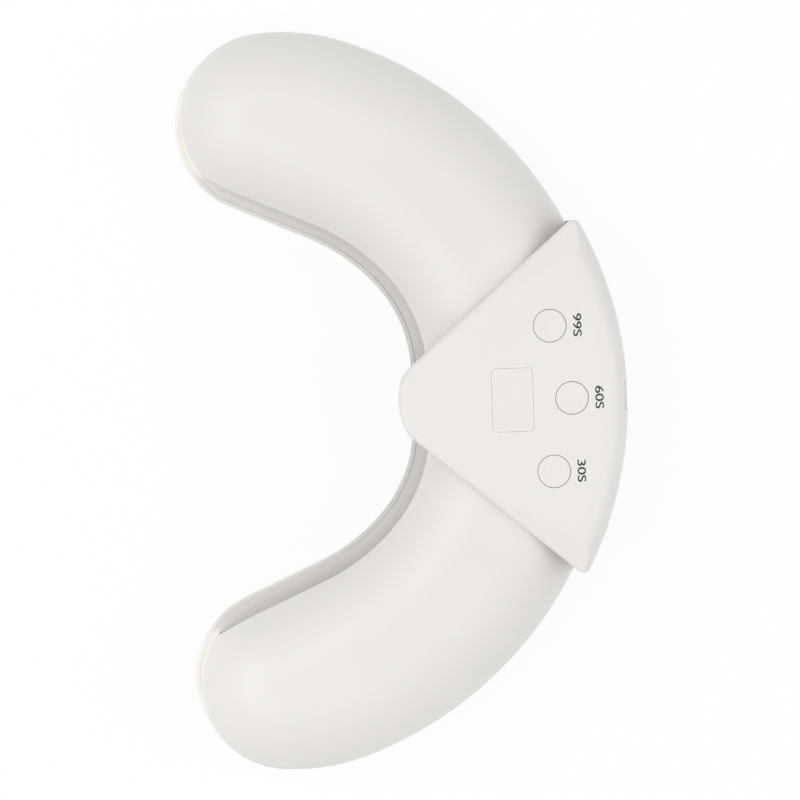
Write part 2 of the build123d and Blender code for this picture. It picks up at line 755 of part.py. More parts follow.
with BuildPart() as window:
    with BuildSketch(Plane.XY.offset(cover_height - window_thickness)):
        with Locations((window_center.X, window_center.Y)):
            RectangleRounded(window_width, window_depth, window_round)
    extrude(amount=window_thickness)
save(window.part, "display_window")

with BuildPart() as board_screws:
    for place in board_screw_places:
        screw(place, control_board_bottom, control_board_top + board_screw_depth)
save(board_screws.part, "board_screws")

with BuildPart() as housing_screws:
    for place in cover_screw_places:
        screw(place, floor_lift + screw_head_height, floor_top + screw_depth)
save(housing_screws.part, "housing_screws")

with BuildPart() as housing_feet:
    for place in housing_foot_places:
        post(place, housing_foot_radius, 0.0, floor_lift)
    chamfer(housing_feet.edges().group_by(Axis.Z)[0], foot_bevel)
save(housing_feet.part, "housing_feet")

# Power inlet: a flat shell closed at the back, with a tongue, on a small board with two leads up
with BuildPart() as inlet:
    with BuildSketch(Plane.XZ.offset(-inlet_back)):
        with Locations((0.0, inlet_middle_height)):
            SlotOverall(inlet_width, inlet_height)
    extrude(amount=-inlet_depth)
    with BuildSketch(Plane.XZ.offset(-inlet_back - inlet_back_wall)):
        with Locations((0.0, inlet_middle_height)):
            SlotOverall(inlet_width - 2.0 * inlet_wall, inlet_height - 2.0 * inlet_wall)
    extrude(amount=-inlet_depth, mode=Mode.SUBTRACT)
    block(Vector(0.0, inlet_back + inlet_back_wall + tongue_depth / 2.0), (tongue_width, tongue_depth),
          inlet_middle_height - tongue_thickness / 2.0, inlet_middle_height + tongue_thickness / 2.0)
save(inlet.part, "power_inlet")

with BuildPart() as inlet_board:
    block(Vector(0.0, inlet_board_rear - inlet_board_depth / 2.0), (inlet_board_width, inlet_board_depth),
          inlet_board_bottom, inlet_board_top)
save(inlet_board.part, "inlet_board")

with BuildPart() as leads:
    for turn in (1, -1):
        post(Vector(turn * lead_spread / 2.0, inlet_back - lead_radius - seat_gap), lead_radius,
             inlet_board_top, control_board_bottom)
save(leads.part, "power_leads")

# Buttons: a cap in its hole, a flange under the roof and a stem over the switch
flange_top = ceiling - button_flange_gap
flange_bottom = flange_top - button_flange_height
for name, place in zip(("99", "60", "30"), button_places):
    with BuildPart() as button:
        post(place, button_radius, flange_top, cover_height + button_proud)
        fillet(button.edges().group_by(Axis.Z)[-1], button_bevel)
        post(place, button_flange_radius, flange_bottom, flange_top)
        post(place, button_stem_radius, plunger_top + button_travel + seat_gap, flange_bottom)
    save(button.part, f"button_{name}")
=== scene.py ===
"""Foldable nail lamp: looks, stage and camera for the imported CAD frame, laid out as an add-on."""

from math import radians

import bmesh
import bpy
import numpy as np
from mathutils import Euler, Matrix, Vector


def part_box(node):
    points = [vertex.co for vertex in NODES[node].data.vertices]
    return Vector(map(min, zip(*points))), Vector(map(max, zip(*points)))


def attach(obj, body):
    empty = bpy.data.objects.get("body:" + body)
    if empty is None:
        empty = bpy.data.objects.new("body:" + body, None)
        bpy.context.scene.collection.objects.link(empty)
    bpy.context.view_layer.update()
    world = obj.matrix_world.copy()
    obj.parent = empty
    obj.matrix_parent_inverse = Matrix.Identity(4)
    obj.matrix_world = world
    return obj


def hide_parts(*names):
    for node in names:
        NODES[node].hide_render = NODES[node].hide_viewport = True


bl_info = {
    "name": "Foldable nail lamp",
    "version": (1, 0, 0),
    "blender": (4, 5, 0),
    "location": "3D View > Sidebar > Nail Lamp",
    "description": "Finishes the pieces of a foldable nail lamp and sets its stage",
    "category": "Object",
}

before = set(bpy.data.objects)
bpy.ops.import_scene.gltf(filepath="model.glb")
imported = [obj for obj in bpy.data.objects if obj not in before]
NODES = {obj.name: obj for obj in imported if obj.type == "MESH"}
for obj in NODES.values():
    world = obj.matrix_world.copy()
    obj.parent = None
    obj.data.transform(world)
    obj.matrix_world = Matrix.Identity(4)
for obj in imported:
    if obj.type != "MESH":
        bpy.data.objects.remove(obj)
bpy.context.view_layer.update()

MM = 0.001
PLACE_DIGITS = 7              # corners that agree to so many digits of a metre are one
SHARP_EDGE = radians(35.0)    # an edge stays sharp where its faces differ by more
WAVE_PERIOD = np.pi / 10.0    # length of one wave of the wave texture at a scale of 1

TIMES = ("99", "60", "30")
SHELL_TINTS = ("#ECE9E6", "#EFECE9")

SENSOR_MM = 36.0
PICTURE_PIXELS = 800.0
FOCAL_PIXELS = 2714.5         # focal length of the photograph's camera
FLOOR_HALF = 3.0
LAMPS = (                     # name, place and width in metres
    ("key", (0.0, -0.62, 1.33), 1.3),
    ("fill", (0.1, 0.9, 1.0), 0.9),
    ("front", (-0.1, -1.0, 1.0), 1.4),
)


def linear(hex_colour):
    """An sRGB hex colour as linear RGBA."""
    srgb = np.array([int(hex_colour[i:i + 2], 16) for i in (1, 3, 5)]) / 255.0
    rgb = np.where(srgb <= 0.04045, srgb / 12.92, ((srgb + 0.055) / 1.055) ** 2.4)
    return (*rgb.tolist(), 1.0)


def add_node(tree, kind, links=(), **settings):
    """Adds a node. Settings are its own properties or, where it has none of that name, its inputs by
    name with _ for a space; links are (output socket, input name or index) pairs."""
    node = tree.nodes.new(kind)
    for key, value in settings.items():
        if hasattr(node, key):
            setattr(node, key, value)
        else:
            node.inputs[key.replace("_", " ")].default_value = value
    for source, target in links:
        tree.links.new(source, node.inputs[target])
    return node


def new_material(name, colour, roughness, **sockets):
    """A material with a Principled shader and its constant sockets set; returns it, its tree and shader."""
    material = bpy.data.materials.new(name)
    material.use_nodes = True
    tree = material.node_tree
    shader = tree.nodes["Principled BSDF"]
    shader.inputs["Base Color"].default_value = linear(colour)
    shader.inputs["Roughness"].default_value = roughness
    for key, value in sockets.items():
        shader.inputs[key.replace("_", " ")].default_value = value
    return material, tree, shader


def spark_texture(tree, shader, grain_mm, depth_mm):
    """Bump of a spark-eroded mould: even noise whose grain and depth are in millimetres."""
    place = add_node(tree, "ShaderNodeTexCoord")
    noise = add_node(tree, "ShaderNodeTexNoise", [(place.outputs["Object"], "Vector")],
                     Scale=1.0 / (grain_mm * MM), Detail=2.0, Roughness=0.6)
    bump = add_node(tree, "ShaderNodeBump", [(noise.outputs["Fac"], "Height")],
                    Strength=1.0, Distance=depth_mm * MM)
    tree.links.new(bump.outputs["Normal"], shader.inputs["Normal"])
    return place


def tint_variation(tree, shader, place, low, high, patch_mm):
    """Slow drift of the colour between two close hex tints, over patches of a size in millimetres."""
    noise = add_node(tree, "ShaderNodeTexNoise", [(place.outputs["Object"], "Vector")],
                     Scale=1.0 / (patch_mm * MM), Detail=1.0)
    ramp = add_node(tree, "ShaderNodeValToRGB", [(noise.outputs["Fac"], "Fac")])
    for element, position, tint in zip(ramp.color_ramp.elements, (0.3, 0.7), (low, high)):
        element.position = position
        element.color = linear(tint)
    tree.links.new(ramp.outputs["Color"], shader.inputs["Base Color"])


def moulded_white_abs(name, low, high, roughness, grain_mm=0.25, depth_mm=0.012):
    """Injection-moulded white ABS from a spark-eroded mould: a soft satin with a broad, weak highlight.
    The window's printed acrylic and the segments' milky epoxy look alike, with a finer skin. The real
    grain is about 0.05 mm, drawn coarser so that it shows."""
    material, tree, shader = new_material(name, high, roughness, IOR=1.53)
    place = spark_texture(tree, shader, grain_mm, depth_mm)
    tint_variation(tree, shader, place, low, high, patch_mm=60.0)
    return material


def vacuum_metallised_abs(name, ripple_mm=6.0, depth_mm=0.05):
    """ABS with a vacuum-deposited aluminium film: a bright reflector, slightly wavy as moulded parts are."""
    material, tree, shader = new_material(name, "#F1F2F3", 0.16, Metallic=1.0)
    place = add_node(tree, "ShaderNodeTexCoord")
    noise = add_node(tree, "ShaderNodeTexNoise", [(place.outputs["Object"], "Vector")],
                     Scale=1.0 / (ripple_mm * MM), Detail=2.0)
    bump = add_node(tree, "ShaderNodeBump", [(noise.outputs["Fac"], "Height")],
                    Strength=0.4, Distance=depth_mm * MM)
    rough = add_node(tree, "ShaderNodeMapRange", [(noise.outputs["Fac"], "Value")],
                     To_Min=0.12, To_Max=0.24)
    tree.links.new(bump.outputs["Normal"], shader.inputs["Normal"])
    tree.links.new(rough.outputs["Result"], shader.inputs["Roughness"])
    return material


def solder_mask_board(name, mask, under, pitch_mm, copper_mm=0.035):
    """Circuit board under cured solder mask: glossy epoxy, with copper tracks showing as a second tint.
    Tracks are drawn as rows at a real pitch, each as high as the copper foil is thick."""
    material, tree, shader = new_material(name, mask, 0.32, IOR=1.55)
    place = add_node(tree, "ShaderNodeTexCoord")
    cells = add_node(tree, "ShaderNodeTexBrick", [(place.outputs["Object"], "Vector")],
                     offset=0.37, Scale=1.0, Color1=linear(mask), Color2=linear(mask), Mortar=linear(under),
                     Mortar_Size=0.08 * pitch_mm * MM, Brick_Width=4.0 * pitch_mm * MM,
                     Row_Height=pitch_mm * MM)
    bump = add_node(tree, "ShaderNodeBump", [(cells.outputs["Fac"], "Height")],
                    Strength=0.5, Distance=copper_mm * MM)
    tree.links.new(cells.outputs["Color"], shader.inputs["Base Color"])
    tree.links.new(bump.outputs["Normal"], shader.inputs["Normal"])
    return material


def plated_metal(name, colour, roughness, pitch_mm=0.12, depth_mm=0.01):
    """Plated metal, turned, drawn or cold headed: nickel-plated steel where no other is named. Its faint
    rings along its height are what the tool leaves, at a pitch in millimetres."""
    material, tree, shader = new_material(name, colour, roughness, Metallic=1.0)
    place = add_node(tree, "ShaderNodeTexCoord")
    wave = add_node(tree, "ShaderNodeTexWave", [(place.outputs["Object"], "Vector")], bands_direction="Z",
                    Scale=WAVE_PERIOD / (pitch_mm * MM), Distortion=1.0, Detail=1.0)
    bump = add_node(tree, "ShaderNodeBump", [(wave.outputs["Fac"], "Height")],
                    Strength=0.2, Distance=depth_mm * MM)
    tree.links.new(bump.outputs["Normal"], shader.inputs["Normal"])
    return material


def silicone_rubber(name):
    """Compression-moulded silicone rubber: matt pale grey with a velvety edge."""
    material, tree, shader = new_material(name, "#C9C8C5", 0.78, IOR=1.41, Sheen_Weight=0.25,
                                          Sheen_Roughness=0.4)
    spark_texture(tree, shader, grain_mm=0.35, depth_mm=0.02)
    return material


def punched_nylon(name):
    """Natural nylon washers, punched from sheet: slightly translucent, waxy off-white."""
    material, tree, shader = new_material(name, "#E9E4D6", 0.42, IOR=1.53, Subsurface_Weight=0.15,
                                          Subsurface_Scale=0.6 * MM)
    spark_texture(tree, shader, grain_mm=0.3, depth_mm=0.006)
    return material


def printing_ink(name, colour):
    """Pad-printed ink: a dull, even film. The leads' extruded vinyl has the same dull skin."""
    material, tree, shader = new_material(name, colour, 0.55, IOR=1.5)
    spark_texture(tree, shader, grain_mm=0.12, depth_mm=0.004)
    return material


def clear_lens_resin(name, patch_mm=1.5):
    """Cast clear resin of a light's lens: water clear, with a polished skin."""
    material, tree, shader = new_material(name, "#F4F6F8", 0.06, IOR=1.5, Transmission_Weight=1.0)
    place = add_node(tree, "ShaderNodeTexCoord")
    noise = add_node(tree, "ShaderNodeTexNoise", [(place.outputs["Object"], "Vector")],
                     Scale=1.0 / (patch_mm * MM), Detail=1.0)
    rough = add_node(tree, "ShaderNodeMapRange", [(noise.outputs["Fac"], "Value")],
                     To_Min=0.03, To_Max=0.1)
    tree.links.new(rough.outputs["Result"], shader.inputs["Roughness"])
    return material


def phosphor_gel(name):
    """Yellow phosphor gel over a light's chip: matt, with a little grain."""
    material, tree, shader = new_material(name, "#E3C23C", 0.6, IOR=1.43)
    spark_texture(tree, shader, grain_mm=0.2, depth_mm=0.01)
    return material


def moulded_epoxy(name):
    """Black moulding compound of a chip's body: matt with fine filler grain."""
    material, tree, shader = new_material(name, "#26272A", 0.62, IOR=1.55)
    spark_texture(tree, shader, grain_mm=0.12, depth_mm=0.01)
    return material


def solids_of(node):
    """The separate solids of a CAD node, as (lowest, highest) corners in metres, from left to right.
    Corners at one place are one. Each takes the smallest number among the triangles it belongs to, again
    and again, until every solid has one number."""
    mesh = NODES[node].data
    points = np.empty(3 * len(mesh.vertices))
    mesh.vertices.foreach_get("co", points)
    corners = np.empty(len(mesh.loops), dtype=np.int64)
    mesh.loops.foreach_get("vertex_index", corners)
    points = points.reshape(-1, 3).round(PLACE_DIGITS)
    places, index = np.unique(points, axis=0, return_inverse=True)
    triangles = index.ravel()[corners].reshape(-1, 3)
    number = np.arange(len(places))
    while True:
        least = number.copy()
        np.minimum.at(least, triangles, least[triangles].min(axis=1)[:, None])
        least = least[least]
        if (least == number).all():
            break
        number = least
    boxes = [(places[number == k].min(axis=0), places[number == k].max(axis=0)) for k in np.unique(number)]
    return sorted(boxes, key=lambda box: tuple(box[0]))


def middle_of(solid):
    """The middle of a solid seen from above, and its lowest and highest height."""
    low, high = solid
    return (low[:2] + high[:2]) / 2.0, low[2], high[2]


def spread(count, spacing):
    """The places of a count of things at an even spacing, about zero."""
    return (np.arange(count) - (count - 1) / 2.0) * spacing


def round_end(radius, height, bend, start, end, steps=5):
    """Points (radius, height) along an arc of radius bend. The arc's middle is at (radius, height), and it
    runs from a start to an end angle in degrees."""
    turn = np.radians(np.linspace(start, end, steps))
    return np.stack([radius + bend * np.cos(turn), height + bend * np.sin(turn)], axis=-1)


def skin(rings):
    """A surface through rings of equally many points: each ring is joined to the next by four-sided faces."""
    rings = np.asarray(rings, dtype=float)
    rows, count = rings.shape[:2]
    i, j = np.meshgrid(np.arange(rows - 1), np.arange(count), indexing="ij")
    k = (j + 1) % count
    faces = np.stack([i * count + j, i * count + k, (i + 1) * count + k, (i + 1) * count + j], axis=-1)
    return rings.reshape(-1, 3), faces.reshape(-1, 4)


def lathe(profile, centre, count=40):
    """A surface of revolution: each (radius, height) of the profile is carried round an upright axis.
    The ends of the profile lie on the axis and close it."""
    radius, height = np.asarray(profile, dtype=float).T
    turn = np.linspace(0.0, 2.0 * np.pi, count, endpoint=False)
    x = centre[0] + radius[:, None] * np.cos(turn)
    y = centre[1] + radius[:, None] * np.sin(turn)
    return skin(np.stack([x, y, np.broadcast_to(height[:, None], x.shape)], axis=-1))


def rounded_outline(width, depth, corner):
    """A rectangle's outline with round corners: four quarter circles of five points, each about its
    corner's middle."""
    turn = np.radians(np.linspace(0.0, 90.0, 5) + 90.0 * np.arange(4)[:, None])
    sides = np.array([(1, 1), (-1, 1), (-1, -1), (1, -1)])[:, None]
    outline = sides * (np.array([width, depth]) / 2.0 - corner)
    return (outline + corner * np.stack([np.cos(turn), np.sin(turn)], axis=-1)).reshape(-1, 2)


def upright_ring(outline, y):
    """An outline stood up square to Y, at a place along it."""
    return np.column_stack([outline[:, 0], np.full(len(outline), y), outline[:, 1]])


def slab(middle, size, low, high, corner, edge):
    """A moulded block: round-cornered outlines stacked from its lower to its upper face, drawn in at both
    ends along a quarter circle of the edge's radius."""
    turn = np.radians([-90.0, -60.0, -30.0, 0.0, 0.0, 30.0, 60.0, 90.0])
    height = np.repeat([low + edge, high - edge], 4) + edge * np.sin(turn)
    inset = edge * (1.0 - np.cos(turn))
    shrink = 1.0 - 2.0 * inset[:, None] / np.array(size)
    flat = rounded_outline(*size, corner) * shrink[:, None]
    rings = np.append(flat, np.broadcast_to(height[:, None, None], (*flat.shape[:2], 1)), axis=-1)
    rings = np.concatenate([rings[:1] * (0, 0, 1), rings, rings[-1:] * (0, 0, 1)])
    return skin(rings + (*middle, 0.0))


def join_parts(parts):
    """Several (corners, faces) pairs as one pair."""
    starts = np.cumsum([0] + [len(corners) for corners, _ in parts[:-1]])
    return (np.concatenate([corners for corners, _ in parts]),
            np.concatenate([faces + start for (_, faces), start in zip(parts, starts)]))


def new_piece(name, parts, body, material):
    """A piece from (corners, faces) pairs, which rides on a body. Corners at one place are merged, which
    closes poles, faces are turned outwards, and its clear edges stay sharp."""
    corners, faces = join_parts(parts)
    mesh = bpy.data.meshes.new(name)
    mesh.from_pydata(corners.tolist(), [], faces.tolist())
    work = bmesh.new()
    work.from_mesh(mesh)
    bmesh.ops.remove_doubles(work, verts=work.verts, dist=10.0 ** -PLACE_DIGITS)
    bmesh.ops.recalc_face_normals(work, faces=work.faces)
    work.to_mesh(mesh)
    work.free()
    mesh.polygons.foreach_set("use_smooth", np.ones(len(mesh.polygons), dtype=bool))
    mesh.set_sharp_from_angle(angle=SHARP_EDGE)
    mesh.materials.append(material)
    piece = bpy.data.objects.new(name, mesh)
    bpy.context.scene.collection.objects.link(piece)
    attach(piece, body)
    return piece


class NailLampStage(bpy.types.PropertyGroup):
    """Camera, light and floor."""

    camera_x: bpy.props.FloatProperty(
        name="Camera X", description="Place of the camera to the right",
        default=-0.044194, unit="LENGTH", precision=5)
    camera_y: bpy.props.FloatProperty(
        name="Camera Y", description="Place of the camera to the rear",
        default=-0.015088, unit="LENGTH", precision=5)
    camera_z: bpy.props.FloatProperty(
        name="Camera height", description="Height of the camera",
        default=0.823463, unit="LENGTH", precision=5)
    tilt: bpy.props.FloatVectorProperty(
        name="Camera turn", description="Turn of the camera from straight down",
        default=(-0.05429, -0.0196, 1.53613), subtype="EULER", precision=5)
    lens: bpy.props.FloatProperty(
        name="Lens", description="Focal length for a 36 mm sensor",
        default=FOCAL_PIXELS * SENSOR_MM / PICTURE_PIXELS, unit="CAMERA")
    floor_colour: bpy.props.StringProperty(
        name="Floor", description="Floor seen by the camera, sRGB hex", default="#FFFFFF")
    floor_glow: bpy.props.FloatProperty(
        name="Floor glow", description="Share of even white in the floor that the camera sees",
        default=0.88, min=0.0, max=1.0)
    sky: bpy.props.FloatProperty(
        name="Sky", description="Strength of the even light from all round", default=0.56, min=0.0)
    key: bpy.props.FloatProperty(
        name="Key lamp", description="Power of the large soft lamp",
        default=5.6, min=0.0, unit="POWER")
    fill: bpy.props.FloatProperty(
        name="Fill lamp", description="Power of the lamp at the rear",
        default=3.1, min=0.0, unit="POWER")
    front: bpy.props.FloatProperty(
        name="Front lamp", description="Power of the lamp that shines in the mouths",
        default=3.4, min=0.0, unit="POWER")


class NAILLAMP_OT_stage(bpy.types.Operator):
    """Sets the floor, the world, three soft lamps and the camera"""

    bl_idname = "nail_lamp.stage"
    bl_label = "Set the stage"

    def execute(self, context):
        setup = context.scene.nail_lamp_stage
        self.make_world(context.scene, setup)
        self.make_floor(context.scene, setup)
        for name, place, width in LAMPS:
            self.make_lamp(context.scene, f"{name}_lamp", place, width, getattr(setup, name))
        self.make_camera(context.scene, setup)
        context.scene.view_settings.view_transform = "Standard"
        return {"FINISHED"}

    def make_world(self, scene, setup):
        """White to the camera and in reflections, and an even pale light for the rest."""
        world = bpy.data.worlds.new("studio")
        world.use_nodes = True
        tree = world.node_tree
        path = add_node(tree, "ShaderNodeLightPath")
        seen = add_node(tree, "ShaderNodeMath", [(path.outputs["Is Camera Ray"], 0),
                                                 (path.outputs["Is Transmission Ray"], 1)],
                        operation="MAXIMUM")
        seen = add_node(tree, "ShaderNodeMath", [(seen.outputs[0], 0), (path.outputs["Is Glossy Ray"], 1)],
                        operation="MAXIMUM")
        strength = add_node(tree, "ShaderNodeMapRange", [(seen.outputs[0], "Value")],
                            To_Min=setup.sky, To_Max=1.0)
        background = tree.nodes["Background"]
        background.inputs["Color"].default_value = linear("#FFFFFF")
        tree.links.new(strength.outputs["Result"], background.inputs["Strength"])
        scene.world = world

    def make_floor(self, scene, setup):
        """A plain wide floor. Where the camera or a reflection sees it, an even white is mixed in, so that
        only a soft shadow stays."""
        verts = [(x * FLOOR_HALF, y * FLOOR_HALF, 0.0) for x, y in ((-1, -1), (1, -1), (1, 1), (-1, 1))]
        mesh = bpy.data.meshes.new("floor")
        mesh.from_pydata(verts, [], [(0, 1, 2, 3)])
        floor = bpy.data.objects.new("floor", mesh)
        scene.collection.objects.link(floor)
        material, tree, shader = new_material("matt_white_paper", setup.floor_colour, 0.9)
        path = add_node(tree, "ShaderNodeLightPath")
        glow = add_node(tree, "ShaderNodeEmission", Color=linear("#FFFFFF"), Strength=1.0)
        mix = add_node(tree, "ShaderNodeMixShader", [(shader.outputs["BSDF"], 1), (glow.outputs[0], 2)])
        seen = add_node(tree, "ShaderNodeMath", [(path.outputs["Is Camera Ray"], 0),
                                                 (path.outputs["Is Glossy Ray"], 1)], operation="MAXIMUM")
        share = add_node(tree, "ShaderNodeMath", [(seen.outputs[0], 0)], operation="MULTIPLY")
        share.inputs[1].default_value = setup.floor_glow
        tree.links.new(share.outputs[0], mix.inputs[0])
        tree.links.new(mix.outputs[0], tree.nodes["Material Output"].inputs["Surface"])
        mesh.materials.append(material)

    def make_lamp(self, scene, name, place, width, power):
        """A square soft lamp that faces the object."""
        data = bpy.data.lights.new(name, "AREA")
        data.size = width
        data.energy = power
        lamp = bpy.data.objects.new(name, data)
        lamp.location = place
        lamp.rotation_euler = (-Vector(place)).to_track_quat("-Z", "Y").to_euler()
        lamp.visible_camera = False
        scene.collection.objects.link(lamp)

    def make_camera(self, scene, setup):
        """The photograph's camera: nearly straight down, with the object's rear to the right."""
        data = bpy.data.cameras.new("camera")
        data.lens = setup.lens
        data.sensor_width = SENSOR_MM
        camera = bpy.data.objects.new("camera", data)
        camera.location = (setup.camera_x, setup.camera_y, setup.camera_z)
        camera.rotation_euler = Euler(setup.tilt, "XYZ")
        scene.collection.objects.link(camera)
        scene.camera = camera


class NAILLAMP_OT_finish_nodes(bpy.types.Operator):
    """Gives every CAD node its material"""

    bl_idname = "nail_lamp.finish_nodes"
    bl_label = "Finish the CAD nodes"

    def execute(self, context):
        shell = moulded_white_abs("moulded_white_abs", *SHELL_TINTS, 0.38)
        arms = moulded_white_abs("arm_white_abs", "#EBE8E4", "#EFECE8", 0.40)
        # The trays are the shell's white ABS drawn lighter: painted light that lifts the shade over the band
        # inside each mouth.
        trays_lightened_for_shade = moulded_white_abs("tray_white_abs", "#F8F5F0", "#FAF7F2", 0.22, depth_mm=0.006)
        film = moulded_white_abs("screen_printed_acrylic", "#EDE9E6", "#F0ECE9", 0.28, grain_mm=0.4,
                                 depth_mm=0.004)
        mirror = vacuum_metallised_abs("vacuum_metallised_abs")
        white_board = solder_mask_board("white_solder_mask_aluminium", "#E9EAE6", "#D5D6D0", pitch_mm=1.6)
        green_board = solder_mask_board("green_solder_mask_fibreglass", "#1F6B44", "#2C7F54", pitch_mm=0.8)
        steel = plated_metal("nickel_plated_steel", "#B9B8B4", 0.28)
        finishes = {
            "housing_cover": shell, "housing_floor": shell, "display_window": film,
            "control_board": green_board, "inlet_board": green_board,
            "lower_pivot_pin": steel, "upper_pivot_pin": steel,
            "pivot_washers": punched_nylon("punched_nylon"),
            "power_leads": printing_ink("lead_insulation", "#A02B25"),
        }
        for side in ("left", "right"):
            finishes.update({f"{side}_hood": arms, f"{side}_base_plate": trays_lightened_for_shade,
                             f"{side}_lamp_panel": mirror, f"{side}_light_board": white_board})
        for name, material in finishes.items():
            slots = NODES[name].data.materials
            slots.clear()
            slots.append(material)
        return {"FINISHED"}


class NailLampLights(bpy.types.PropertyGroup):
    """Lamp lights."""

    dome: bpy.props.FloatProperty(
        name="Lens radius", description="Radius of a light's clear dome",
        default=0.0024, unit="LENGTH", precision=4)
    chip: bpy.props.FloatProperty(
        name="Chip", description="Width of the phosphor over a light's chip",
        default=0.0021, unit="LENGTH", precision=4)


class NAILLAMP_OT_lights(bpy.types.Operator):
    """Makes the lights: clear domes over chips under yellow phosphor"""

    bl_idname = "nail_lamp.lights"
    bl_label = "Make the lights"

    def execute(self, context):
        setup = context.scene.nail_lamp_lights
        resin = clear_lens_resin("cast_clear_resin")
        gel = phosphor_gel("phosphor_gel")
        for side in ("left", "right"):
            lights = [middle_of(solid) for solid in solids_of(f"{side}_lights")]
            lenses = [self.lens(setup.dome, *light) for light in lights]
            chips = [slab(middle, (setup.chip, setup.chip), low=top - 0.45 * MM, high=top - 0.1 * MM,
                          corner=0.5 * MM, edge=0.15 * MM) for middle, _, top in lights]
            piece = new_piece(f"{side}_light_lenses", lenses, f"{side}_arm", resin)
            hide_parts(f"{side}_lights")
            new_piece(f"{side}_light_chips", chips, f"{side}_arm", gel)
        return {"FINISHED"}

    def lens(self, radius, middle, low, top):
        """A dome of nearly half a ball, a short straight wall and a flange against the board. The flange
        reaches past the wall, and small bends round the corner between them and its edge."""
        bend, reach, thick = 0.1 * MM, 0.6 * MM, 0.5 * MM
        ball = radius - bend
        profile = np.vstack([
            [(0.0, low)],
            round_end(bend, low + ball, ball, -90.0, 0.0, steps=9),
            round_end(radius + bend, top - thick - bend, bend, 180.0, 90.0, steps=3),
            round_end(radius + reach - bend, top - thick + bend, bend, -90.0, 0.0, steps=3),
            [(radius + reach, top), (0.0, top)],
        ])
        return lathe(profile, middle)


class NailLampScrews(bpy.types.PropertyGroup):
    """Screws."""

    head: bpy.props.FloatProperty(
        name="Head height", description="Height of a screw's head",
        default=0.0011, unit="LENGTH", precision=4)
    pitch: bpy.props.FloatProperty(
        name="Pitch", description="Thread pitch of the screws",
        default=0.0008, unit="LENGTH", precision=4)
    recess: bpy.props.FloatProperty(
        name="Recess", description="Length of the cross recess from end to end",
        default=0.0024, unit="LENGTH", precision=4)


class NAILLAMP_OT_screws(bpy.types.Operator):
    """Makes the screws with crowned heads, cross recesses and threads"""

    bl_idname = "nail_lamp.screws"
    bl_label = "Make the screws"

    def execute(self, context):
        setup = context.scene.nail_lamp_screws
        steel = plated_metal("zinc_plated_screw_steel", "#C2C3C4", 0.3, pitch_mm=0.2)
        bodies = {"housing": "housing", "board": "housing", "left": "left_arm", "right": "right_arm"}
        for node in [name for name in NODES if name.endswith("screws")]:
            screws = [self.screw(setup, *middle_of(solid)) for solid in solids_of(node)]
            piece = new_piece(f"{node}_threaded", screws, bodies[node.split("_")[0]], steel)
            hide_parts(node)
        return {"FINISHED"}

    def screw(self, setup, middle, low, high):
        """Rings from the head's middle out, up its rim, in to the shank and up the thread. The head's face
        rises with the square of the radius. The recess is a cross whose depth falls off smoothly at its
        edges. The thread's radius follows a triangle wave of height less turn, so that it winds."""
        head, crown = 2.1 * MM, 0.3 * MM                     # the head's radius and the rise of its face
        slot, side, deep = 0.34 * MM, 0.14 * MM, 0.65 * MM   # the recess: half width, width of a side, depth
        shank, ridge, bare = 1.0 * MM, 0.2 * MM, 0.5 * MM    # the thread: radius, depth, end without one
        turn = np.linspace(0.0, 2.0 * np.pi, 64, endpoint=False)
        face = np.append(np.linspace(0.0, 1.45, 22), (1.6, 1.75, 1.9, 2.0))[:, None] * MM
        near = np.minimum(np.abs(np.cos(turn) * face), np.abs(np.sin(turn) * face))
        arm = np.clip((slot - near) / side, 0.0, 1.0)
        reach = np.clip((setup.recess / 2.0 - face) / (0.3 * MM), 0.0, 1.0)
        sunk = deep * arm * reach + crown * (face / head) ** 2
        # The head's rim and the tip are lists of (radius, height) in millimetres.
        rim = np.array([(2.08, 0.45), (2.1, 0.6), (2.1, 1.0), (2.05, 1.1), (1.02, 1.1)]) * MM
        tip = np.array([(0.6, -0.1), (0.0, 0.0)]) * MM
        rows = np.arange(low + setup.head, high - bare, setup.pitch / 8.0)[:, None]
        wave = np.abs(((rows / setup.pitch - turn / (2.0 * np.pi)) % 1.0) - 0.5) * 2.0
        fade = np.clip((rows - rows[0]) / setup.pitch, 0.0, 1.0)
        strips = ((face, low + sunk), (rim[:, :1], low + rim[:, 1:]), (shank - ridge * wave * fade, rows),
                  (tip[:, :1], high + tip[:, 1:]))
        rings = [np.broadcast_arrays(radius * np.cos(turn), radius * np.sin(turn), height)
                 for radius, height in strips]
        return skin(np.concatenate([np.stack(ring, axis=-1) for ring in rings]) + (*middle, 0.0))


class NailLampFeet(bpy.types.PropertyGroup):
    """Feet."""

    edge: bpy.props.FloatProperty(
        name="Edge round", description="Round of a foot's lower edge",
        default=0.0005, unit="LENGTH", precision=4)
    ring: bpy.props.FloatProperty(
        name="Ring", description="Radius of the hollow in a foot's underside",
        default=0.0020, unit="LENGTH", precision=4)


